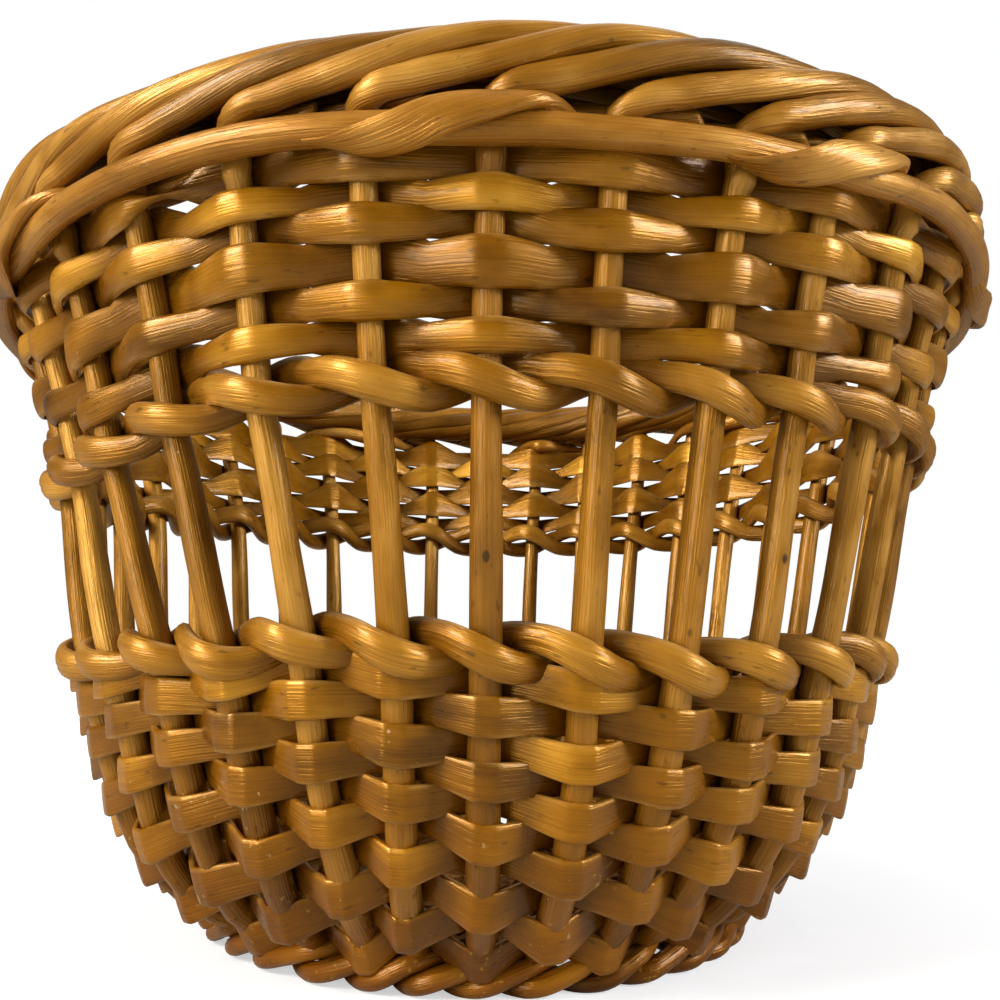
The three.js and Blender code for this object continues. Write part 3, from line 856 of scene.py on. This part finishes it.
@dataclass
class Weave:
    """Rods woven in front of and behind the stakes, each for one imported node."""

    wall: Wall
    stakes: RolledStakes
    finish: WillowFinish
    title: str
    nodes: tuple[str, ...]

    def build(self) -> list[Piece]:
        """Builds the rods and gives their pieces."""
        return [self.rod(number).build(self.finish, [node]) for number, node in enumerate(self.nodes)]

    def rod(self, number: int) -> Rod:
        """Lays out one rod, by its number from 0."""
        raise NotImplementedError

    def level(self, number: int, lift: float) -> tuple[float, float]:
        """Reads the height of a row or rod from its node.

        Args:
            number: Number of the node, from 0.
            lift: How far over the node's middle it lies.

        Returns:
            The height, and half the thickness of a stake there.
        """
        low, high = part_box(self.nodes[number])
        height = (low[2] + high[2]) / 2 / MM + lift
        return height, float(self.stakes.radius_at(np.array([height]))[0])


@dataclass
class WovenRows(Weave):
    """A band of split rods, each in front of one stake and behind the next, from the top down.

    Widths, lifts, tones and reds have one value for each row. A lift is how far the row was beaten up
    from the middle of its room. Each tear has its row, place and reach.
    """

    widths: tuple[float, ...]
    lifts: tuple[float, ...]
    tones: tuple[float, ...]
    reds: tuple[float, ...]
    section: Section
    half_thickness: float
    front_swell: float
    back_swell: float
    back_lifts: tuple[float, ...] = (0.0,) * 10
    torn: tuple[tuple[int, float, float], ...] = ()
    torn_share: float = 0.95
    uprightness: float = 0.0
    bend: float = 0.09
    flat: float = 0.03
    beside: tuple[float, ...] = (0.03, 0.065, 0.09, 0.115, 0.145, 0.19, 0.26, 0.37)
    seed: int = 3000

    def rod(self, number: int) -> Rod:
        """Lays out one row.

        Args:
            number: Number of the row from the top, from 0.

        Returns:
            The rod.
        """
        rng = np.random.default_rng(self.seed + number)
        laps = self.wall.stake_count
        right = np.array(self.beside)
        beside = np.concatenate([[-0.5], -right[::-1], right])
        places = (np.arange(-laps // 2, laps // 2)[:, None] + beside[None, :]).ravel()
        wander = partial(drift, rng, places, laps)
        height, stake_half = self.level(number, self.lifts[number])
        share = bulge(places, number % 2 == 1, self.bend, self.flat)
        in_front, behind = np.maximum(share, 0), np.maximum(-share, 0)
        shift = 0.28 * wander(2, 22) + self.back_lifts[number] * behind
        swell = 1 + (self.front_swell * in_front + self.back_swell * behind)
        width = self.widths[number] * swell * (1 + 0.06 * wander(3, 20))
        for row, place, reach in self.torn:
            if row == number:
                width = width * (1 - self.torn_share * hump(places, place, reach))
        offset = share * (stake_half + 0.1 + self.half_thickness * 0.6)
        lean = math.asin(self.wall.spot(height)[1]) * (1 - self.uprightness)
        tilt = (lean + np.radians(5) * wander(4, 30))[:, None]
        patches = np.repeat(rng.uniform(-0.1, 0.1, laps), len(beside))
        return Rod(
            f"{self.title}_{number + 1:02d}", self.section, self.wall.woven(places, height, offset, shift),
            self.wall.outward(places) * np.sin(tilt) + UP * np.cos(tilt), width / 2,
            np.full(len(places), self.half_thickness), True, self.seed + 500 + number,
            tone=self.tones[number] + 0.15 * wander(2, 26) + patches,
            redness=np.clip(self.reds[number] + 0.3 * wander(2, 12), 0, 1),
            # Painted shade: outer faces darker behind stakes, inner faces darker in front of them.
            shade=weave_shade(share), inner_shade=weave_shade(-share),
        )


@dataclass
class TwinedPair(Weave):
    """Two rods that cross between the stakes, above or below the open band, flattened into leaves."""

    half_width: float = 2.3
    half_depth: float = 1.4
    climb: float = -1.7
    lift: float = 0.0
    back_lift: float = 0.0
    bend: float = 0.26
    stations_per_place: int = 14
    # Strength of the painted shade, which darkens the leaves behind the stakes.
    light: float = 1.3
    seed: int = 4000

    def rod(self, number: int) -> Rod:
        """Lays out one rod of the pair.

        Args:
            number: 0 for the one in front of the front stake, and 1 for the other.

        Returns:
            The rod.
        """
        rng = np.random.default_rng(self.seed + number)
        laps = self.wall.stake_count
        places = np.arange(-laps // 2, laps // 2, 1 / self.stations_per_place)
        wander = partial(drift, rng, places, laps)
        height, stake_half = self.level(number, self.lift)
        share = bulge(places, number == 0, self.bend)
        side = 1.0 if number == 0 else -1.0
        shift = side * self.climb * np.sin(np.pi * places) + 0.22 * wander(2, 16)
        shift = shift + self.back_lift * np.maximum(-share, 0)
        plump = (0.86 + 0.14 * np.abs(share)) * (1 + 0.07 * wander(3, 18))
        _, lean, rise = self.wall.spot(height)
        return Rod(
            f"{self.title}_{number + 1}", Section.LEAF,
            self.wall.woven(places, height, share * (stake_half + self.half_depth), shift),
            self.wall.outward(places) * lean + UP * rise, self.half_width * plump,
            self.half_depth * (0.8 + 0.2 * plump), True, self.seed + 50 + number,
            tone=0.55 + 0.16 * wander(2, 24), redness=np.clip(0.1 + 0.25 * wander(2, 10), 0, 1),
            # Painted shade: outer faces darker behind stakes, inner faces darker in front of them.
            shade=weave_shade(share * self.light), inner_shade=weave_shade(-share * self.light),
        )


@dataclass
class FootRing:
    """The foot: a rod that goes three times round, in front of two stakes and behind the third.

    Its path over three stakes has a point every half place, from half a place before the first: how
    far it stands off the stakes' line, and how far over the ring's middle.
    """

    wall: Wall
    finish: WillowFinish
    height: float = 3.2
    rod_radius: float = 1.45
    stand_off: float = 3.1
    climb: float = 1.8
    flattened: float = 0.9
    stations_per_place: int = 12
    path: Pairs = ((-1.0, 0.2), (0.0, -1.0), (0.95, -0.85), (1.08, 0.0), (0.95, 0.8), (0.0, 1.0))
    sizes: Pairs = ((0, 0.92), (0.8, 1.05), (1.6, 0.95), (2.4, 0.85), (3.0, 0.92))
    # Painted shade: the ring is darker where it passes behind the stakes.
    shades: Pairs = ((0, 0.5), (0.5, 1.0), (1.5, 1.0), (2.0, 0.55), (3.0, 0.5))
    seed: int = 5000

    def build(self) -> Piece:
        """Builds the ring.

        Returns:
            Its one piece.
        """
        rng = np.random.default_rng(self.seed)
        laps = 3 * self.wall.stake_count
        half_way = self.wall.stake_count // 2
        places = np.arange(-half_way, laps - half_way, 1 / self.stations_per_place)
        wander = partial(drift, rng, places, laps)
        phase = np.mod(places + 0.5, 3.0)
        path = np.array(self.path + self.path[:3])
        out, over = hermite(np.arange(len(path)) / 2 - 0.5, path, phase).T
        heights = self.height + over * self.climb + 0.12 * wander(6, 40)
        half = self.rod_radius * (1 + 0.08 * wander(8, 60)) * profile(self.sizes, phase)
        heights = np.maximum(heights, half * self.flattened)
        at = self.wall.around(places, self.wall.foot_radius + out * self.stand_off, heights)
        rod = Rod(
            "foot_ring", Section.ROUND, at, np.tile(UP, (len(places), 1)), half, half.copy(), True,
            self.seed + 1, tone=0.42 + 0.2 * wander(8, 60),
            redness=np.clip(0.12 + 0.25 * wander(6, 30), 0, 1), shade=profile(self.shades, phase),
        )
        return rod.build(self.finish, ["foot_rod_a", "foot_rod_b"])


@dataclass
class BorderPair:
    """The two long rods under the roll: a main one outside, and one that wraps round it here and there.

    The wrapping rod lies inside the stakes. At each wrap it comes out under the main rod, flattens as it
    passes over it, and goes in again. Each row of the turn gives places from the wrap, the radius, the
    height over the main rod, the tilt of its flat side in degrees, and its half width and half depth.
    """

    wall: Wall
    finish: WillowFinish
    wraps: tuple[float, ...] = (0.0, 3.05, 7.0, 11.0, 15.0, 18.0, 22.0, 26.0, 29.9)
    rod_radius: float = 2.0
    outer_radius: float = 91.0
    drop: float = 0.8
    pushed_in: float = 0.7
    pushed_up: float = 0.1
    pushed_down: float = 0.3
    stations_per_place: int = 15
    turn: Rows = (
        (-1.95, 84.4, 3.2, -165, 1.3, 1.2), (-1.75, 86.4, 2.8, -158, 1.1, 0.9),
        (-1.58, 88.6, 1.7, -145, 1.0, 0.6), (-1.42, 90.3, -0.4, -125, 1.2, 0.5),
        (-1.2, 90.7, -1.55, -108, 1.7, 0.5), (-0.88, 91.6, -2.2, -62, 2.3, 0.7),
        (-0.6, 92.6, -1.65, -37, 2.55, 0.9), (-0.38, 93.2, -0.55, -11, 2.65, 1.05),
        (-0.19, 93.4, 0.15, 5, 2.5, 1.15), (0.0, 93.2, 0.95, 20, 2.25, 1.15),
        (0.2, 92.5, 2.0, 46, 1.95, 1.15), (0.38, 91.0, 2.85, 82, 1.7, 1.2),
        (0.55, 88.4, 3.0, 120, 1.6, 1.4), (0.74, 84.8, 2.8, 155, 1.8, 1.7), (0.95, 83.8, 2.6, 168, 1.9, 1.8),
    )
    seed: int = 6000

    def from_wrap(self, places: Array) -> Array:
        """Measures from each place to its nearest wrap.

        Args:
            places: Where to read it.

        Returns:
            How far each is past the wrap, negative before it.
        """
        laps = self.wall.stake_count
        apart = places[:, None] - np.array(self.wraps)[None, :] + laps / 2
        apart = np.mod(apart, laps) - laps / 2
        return apart[np.arange(len(places)), np.abs(apart + 0.5).argmin(axis=1)]

    def main_path(self, places: Array) -> Array:
        """Lays the main rod, which is pushed in, up and down where it is wrapped.

        Args:
            places: Where to read it.

        Returns:
            Rows of radius, height, tilt in radians, half width and half depth.
        """
        beside = self.from_wrap(places)
        radii = self.outer_radius - self.pushed_in * hump(beside, -0.45, 0.7)
        lifted = self.pushed_up * hump(beside, -1.2, 0.5) - self.pushed_down * hump(beside, 0.15, 0.5)
        heights = self.wall.rim[1] - self.drop + lifted
        full = np.full(len(places), self.rod_radius)
        return np.stack([radii, heights, np.zeros(len(places)), full, full], axis=1)

    def wrap_path(self, places: Array) -> Array:
        """Lays the wrapping rod, one turn at each wrap.

        Args:
            places: Where to read it.

        Returns:
            Rows of radius, height, tilt in radians, half width and half depth.
        """
        laps = self.wall.stake_count
        level = np.array([0, 0, self.wall.rim[1] - self.drop, 0, 0, 0])
        table = []
        for lap in (-1, 0, 1):
            for number, wrap in enumerate(self.wraps):
                whole_turns = 360 * (number + lap * len(self.wraps))
                shift = np.array([wrap + lap * laps, 0, 0, whole_turns, 0, 0])
                table.append(np.array(self.turn) + level + shift)
        table = np.vstack(table)
        path = hermite(table[:, 0], table[:, 1:], places)
        path[:, 2] = np.radians(path[:, 2])
        return path

    def build(self) -> list[Piece]:
        """Builds the two rods.

        Returns:
            The main rod's piece and the wrapping rod's.
        """
        half_way = self.wall.stake_count // 2
        places = np.arange(-half_way, half_way, 1 / self.stations_per_place)
        main_rod = self.rod(0, "border_main_rod", places, self.main_path(places))
        wrapping_rod = self.rod(1, "border_wrapping_rod", places, self.wrap_path(places))
        return [
            main_rod.build(self.finish, ["border_rod_outer"]),
            wrapping_rod.build(self.finish, ["border_rod_inner"]),
        ]

    def rod(self, number: int, name: str, places: Array, path: Array) -> Rod:
        """Lays out one rod of the pair.

        Args:
            number: 0 for the main rod, and 1 for the one that wraps.
            name: Name of its piece.
            places: Places of its stations.
            path: Radius, height, tilt, half width and half depth at each.

        Returns:
            The rod.
        """
        rng = np.random.default_rng(self.seed + number)
        wander = partial(drift, rng, places, self.wall.stake_count)
        radii, heights, tilts, half_width, half_depth = path.T
        swell = 1 + 0.04 * wander(3, 16)
        at = self.wall.around(places, radii, heights + 0.12 * wander(2, 9))
        turned = tilts[:, None]
        lay = UP * np.cos(turned) - self.wall.outward(places) * np.sin(turned)
        tone = 0.52 + 0.16 * wander(2, 18)
        redness = np.clip(0.08 + 0.2 * wander(2, 8), 0, 1)
        return Rod(
            name, Section.ROUND, at, lay, half_width * swell, half_depth * swell, True,
            self.seed + 20 + number, tone, redness, np.ones(len(places)),
        )


@dataclass
class WovenBase:
    """The base: crossed sticks, and a flat rod woven round them. Pairs are radii and values."""

    wall: Wall
    finish: WillowFinish
    stick_count: int = 17
    height: float = 5.0
    stick_radius: float = 1.6
    edge_radius: float = 44.3
    woven_radius: float = 40.6
    round_spacing: float = 2.65
    rounds: int = 12
    weaver_half_thickness: float = 0.55
    stick_sizes: Pairs = ((0, 0.45), (9, 0.92), (40, 1.0))
    stick_rises: Pairs = ((0, 0.25), (14, 0.0))
    weaver_lifts: Pairs = ((8, 1.75), (40, 2.2))
    weaver_halves: Pairs = ((8, 1.15), (16, 1.3), (40, 1.38))
    seed: int = 7000

    def stick(self, number: int) -> Rod:
        """Lays out one pointed stick, from the middle to the edge.

        Args:
            number: Number of the stick, from 0.

        Returns:
            The rod.
        """
        rng = np.random.default_rng(self.seed + number)
        layer = number % 3
        radii = np.linspace(0.2 + layer * 1.4, self.edge_radius, 22)
        wander = partial(drift, rng, radii, 60.0)
        places = np.full(len(radii), 2 * number + 0.5)
        at = self.wall.around(places, radii, self.height + (layer - 1) * profile(self.stick_rises, radii))
        half = self.stick_radius * profile(self.stick_sizes, radii) * (1 + 0.04 * wander(2, 12))
        lay = np.tile(UP, (len(radii), 1))
        return Rod(
            f"base_stick_{number + 1:02d}", Section.ROUND, at, lay, half, half.copy(), False,
            self.seed + 40 + number, tone=0.45 + 0.12 * wander(1, 8), redness=np.full(len(radii), 0.1),
            shade=np.ones(len(radii)),
        )

    def sticks(self) -> Piece:
        """Builds the sticks and joins them.

        Returns:
            Their one piece.
        """
        rods = [self.stick(number) for number in range(self.stick_count)]
        parts = [rod.build(self.finish, ["base_sticks"]) for rod in rods]
        with bpy.context.temp_override(active_object=parts[0], selected_editable_objects=parts):
            bpy.ops.object.join()
        parts[0].name = "base_crossed_sticks"
        return parts[0]

    def weaver(self) -> Piece:
        """Builds the woven spiral.

        Returns:
            Its piece.
        """
        rng = np.random.default_rng(self.seed + 90)
        passes = self.rounds * self.stick_count
        steps = np.arange(0, passes, 1 / 10)
        wander = partial(drift, rng, steps, passes)
        places = 2 * steps + 0.5
        radii = self.woven_radius - (passes - steps) / self.stick_count * self.round_spacing
        share = bulge(steps, True, 0.22)
        at = self.wall.around(places, radii, self.height + share * profile(self.weaver_lifts, radii))
        half = profile(self.weaver_halves, radii) * (1 + 0.05 * wander(9, 60))
        rod = Rod(
            "base_spiral_weave", Section.FLAT, at, self.wall.outward(places), half,
            np.full(len(steps), self.weaver_half_thickness), False, self.seed + 91,
            tone=0.48 + 0.16 * wander(9, 90), redness=np.clip(0.15 + 0.2 * wander(5, 40), 0, 1),
            # Painted shade: faces darker where the weaver passes under a stick.
            shade=weave_shade(share), inner_shade=weave_shade(-share),
        )
        return rod.build(self.finish, ["base_weaver"])

    def build(self) -> list[Piece]:
        """Builds the base and gives its two pieces."""
        return [self.sticks(), self.weaver()]


def stand(thing: Piece, place: tuple[float, ...], across: Array, upright: Array, forward: Array) -> None:
    """Adds a camera or a lamp to the scene.

    Args:
        thing: The camera or lamp.
        place: Where it stands, in metres.
        across: The direction to its right.
        upright: The direction over it.
        forward: The direction that it looks in.
    """
    turned = Matrix([[across[i], upright[i], -forward[i]] for i in range(3)]).to_4x4()
    thing.matrix_world = Matrix.Translation(place) @ turned
    bpy.context.collection.objects.link(thing)


@dataclass(frozen=True)
class Viewpoint:
    """Where the photograph was taken from, in millimetres and degrees."""

    distance: float = 187.5
    height: float = 45.0
    focal_share: float = 0.92
    yaw: float = 1.1
    pitch: float = 10.6
    roll: float = 1.0
    sensor_width: float = 36.0

    def build(self) -> None:
        """Sets up the camera."""
        yaw, pitch, roll = (math.radians(angle) for angle in (self.yaw, self.pitch, self.roll))
        right = np.array([math.cos(yaw), -math.sin(yaw), 0.0])
        level = np.array([math.sin(yaw), math.cos(yaw), 0.0])
        up = math.cos(pitch) * UP - math.sin(pitch) * level
        forward = math.cos(pitch) * level + math.sin(pitch) * UP
        across = math.cos(roll) * right + math.sin(roll) * up
        upright = -math.sin(roll) * right + math.cos(roll) * up
        lens = bpy.data.cameras.new("viewpoint")
        lens.sensor_width = self.sensor_width
        lens.lens = self.focal_share * lens.sensor_width
        lens.clip_start, lens.clip_end = 0.005, 20.0
        camera = bpy.data.objects.new("viewpoint", lens)
        stand(camera, (0, -self.distance * MM, self.height * MM), across, upright, forward)
        bpy.context.scene.camera = camera


@dataclass(frozen=True)
class Lamp:
    """A soft rectangular lamp that looks at the middle of the basket."""

    name: str
    place: tuple[float, float, float]
    side: float
    power: float
    colour: tuple[float, float, float]
    target: tuple[float, float, float] = (0.0, 0.0, 0.06)

    def build(self) -> None:
        """Hangs the lamp."""
        light = bpy.data.lights.new(self.name, "AREA")
        light.shape, light.size, light.energy, light.color = "SQUARE", self.side, self.power, self.colour
        forward = unit(np.array([self.target]) - np.array([self.place]))
        across = unit(np.cross(forward, UP))
        upright = np.cross(across, forward)
        stand(bpy.data.objects.new(self.name, light), self.place, across[0], upright[0], forward[0])


@dataclass
class Studio:
    """A plain pale floor, soft lamps and a white surround, dimmer than it looks to the camera."""

    lamps: tuple[Lamp, ...] = (
        Lamp("window_left", (-0.74, -0.5, 0.56), 0.36, 14.0, (1.0, 0.97, 0.92)),
        Lamp("low_left", (-0.56, -0.62, 0.1), 0.3, 3.5, (1.0, 0.96, 0.9)),
        Lamp("window_right", (0.82, -0.4, 0.42), 0.36, 11.0, (0.94, 0.96, 1.0)),
        Lamp("ceiling", (0.0, 0.35, 1.1), 1.0, 3.0, (1.0, 1.0, 1.0)),
    )
    surround: float = 0.2
    reach: float = 6.0

    def floor(self) -> None:
        """Lays the floor, which glows white to the camera away from the basket."""
        graph = Graph("pale_floor")
        seen = graph.node("ShaderNodeLightPath", {}).outputs["Is Camera Ray"]
        away = graph.node("ShaderNodeVectorMath", {0: graph.spot()}, operation="LENGTH").outputs["Value"]
        strength = graph.maths("MULTIPLY", seen, graph.ranged(away, 0.1, 0.42, 0.55, 1.0))
        pale = graph.node("ShaderNodeBsdfPrincipled", {"Base Color": (0.5, 0.5, 0.5, 1.0), "Roughness": 0.9})
        glow = graph.node("ShaderNodeEmission", {"Color": WHITE, "Strength": strength})
        both = graph.node("ShaderNodeAddShader", {0: pale.outputs[0], 1: glow.outputs[0]})
        graph.node("ShaderNodeOutputMaterial", {0: both.outputs[0]})
        mesh = bpy.data.meshes.new("pale_floor")
        corners = [(self.reach * x, self.reach * y, 0) for x, y in ((-1, -1), (1, -1), (1, 1), (-1, 1))]
        mesh.from_pydata(corners, [], [(0, 1, 2, 3)])
        mesh.materials.append(graph.material)
        floor = bpy.data.objects.new("pale_floor", mesh)
        bpy.context.collection.objects.link(floor)

    def world(self) -> None:
        """Sets the surround: white to the camera, and dimmer as a light."""
        world = bpy.data.worlds.new("surround")
        world.use_nodes = True
        nodes, links = world.node_tree.nodes, world.node_tree.links
        path, strength = nodes.new("ShaderNodeLightPath"), nodes.new("ShaderNodeMapRange")
        strength.inputs[3].default_value, strength.inputs[4].default_value = self.surround, 1.0
        links.new(path.outputs["Is Camera Ray"], strength.inputs[0])
        links.new(strength.outputs[0], nodes["Background"].inputs[1])
        nodes["Background"].inputs[0].default_value = WHITE
        bpy.context.scene.world = world
        bpy.context.scene.view_settings.view_transform = "Standard"

    def build(self) -> None:
        """Lays the floor, hangs the lamps and sets the world."""
        self.floor()
        for lamp in self.lamps:
            lamp.build()
        self.world()
        log.info("studio: floor, %d lamps and a white surround", len(self.lamps))


def main() -> None:
    """Builds the basket, its camera and its studio in order."""
    logging.basicConfig(level=logging.INFO, format="%(name)s: %(message)s")
    Viewpoint().build()
    split = WillowFinish(
        "varnished_split_willow", "split_willow", "4a2802", "925e04", "d2982c", "6e4002", roughness=0.29,
        streaks=0.1, fibre_depth=0.00013, specks=0.45,
    )
    twine = WillowFinish("varnished_twining", "twining_willow", "4a2a02", "8a580c", "c89034", "6a3e08")
    border = WillowFinish("varnished_border", "border_willow", "4e2c04", "96611a", "d09a46", "704210")
    base = WillowFinish("varnished_base", "base_willow", "452802", "7d5110", "ae7c30", "5c3608", bloom=0.2)
    wall = Wall()
    upright = WillowFinish(
        "varnished_stakes", "stake_willow", "4a2a04", "8e5d14", "cf9a44", "6e4210", roughness=0.34
    )
    stakes = RolledStakes(wall, upright)
    stakes.build()
    WovenRows(
        wall, stakes, split, "upper_woven_row", tuple(f"upper_row_{number}" for number in range(1, 7)),
        widths=(5.0, 3.5, 4.1, 5.3, 4.1, 3.8), lifts=(2.2, 0.85, 1.2, 1.0, 0.85, 0.5),
        tones=(0.46, 0.6, 0.44, 0.42, 0.38, 0.42), reds=(0.45, 0.02, 0.35, 0.35, 0.2, 0.2),
        section=Section.SPLIT, half_thickness=0.9, front_swell=0.24, back_swell=0.95,
        back_lifts=(0.5, 1.4, 1.5, 1.3, 1.0, 0.2), torn=((0, -2.66, 0.24),),
    ).build()
    WovenRows(
        wall, stakes, split, "lower_woven_row", tuple(f"lower_row_{number:02d}" for number in range(1, 11)),
        widths=(4.6, 4.6, 4.5, 4.4, 4.4, 4.5, 4.7, 5.1, 5.2, 5.0),
        lifts=(1.3, 0.7, 0.35, 0.75, 0.7, 0.75, 0.65, 0.0, -0.1, -0.8),
        tones=(0.52, 0.48, 0.4, 0.46, 0.46, 0.46, 0.5, 0.44, 0.48, 0.44),
        reds=(0.2, 0.3, 0.15, 0.3, 0.15, 0.25, 0.15, 0.3, 0.2, 0.2),
        section=Section.FLAT, half_thickness=0.5, front_swell=0.16, back_swell=0.25, uprightness=0.5,
        bend=0.055, flat=0.075, seed=3100,
    ).build()
    for title, nodes, lift, back_lift, seed in (
        ("upper_twined_rod", ("upper_twine_a", "upper_twine_b"), 0.6, 1.5, 4000),
        ("lower_twined_rod", ("lower_twine_a", "lower_twine_b"), 0.0, 0.0, 4200),
    ):
        TwinedPair(wall, stakes, twine, title, nodes, lift=lift, back_lift=back_lift, seed=seed).build()
    FootRing(wall, border).build()
    BorderPair(wall, border).build()
    WovenBase(wall, base).build()
    Studio().build()


if __name__ == "__main__":
    main()
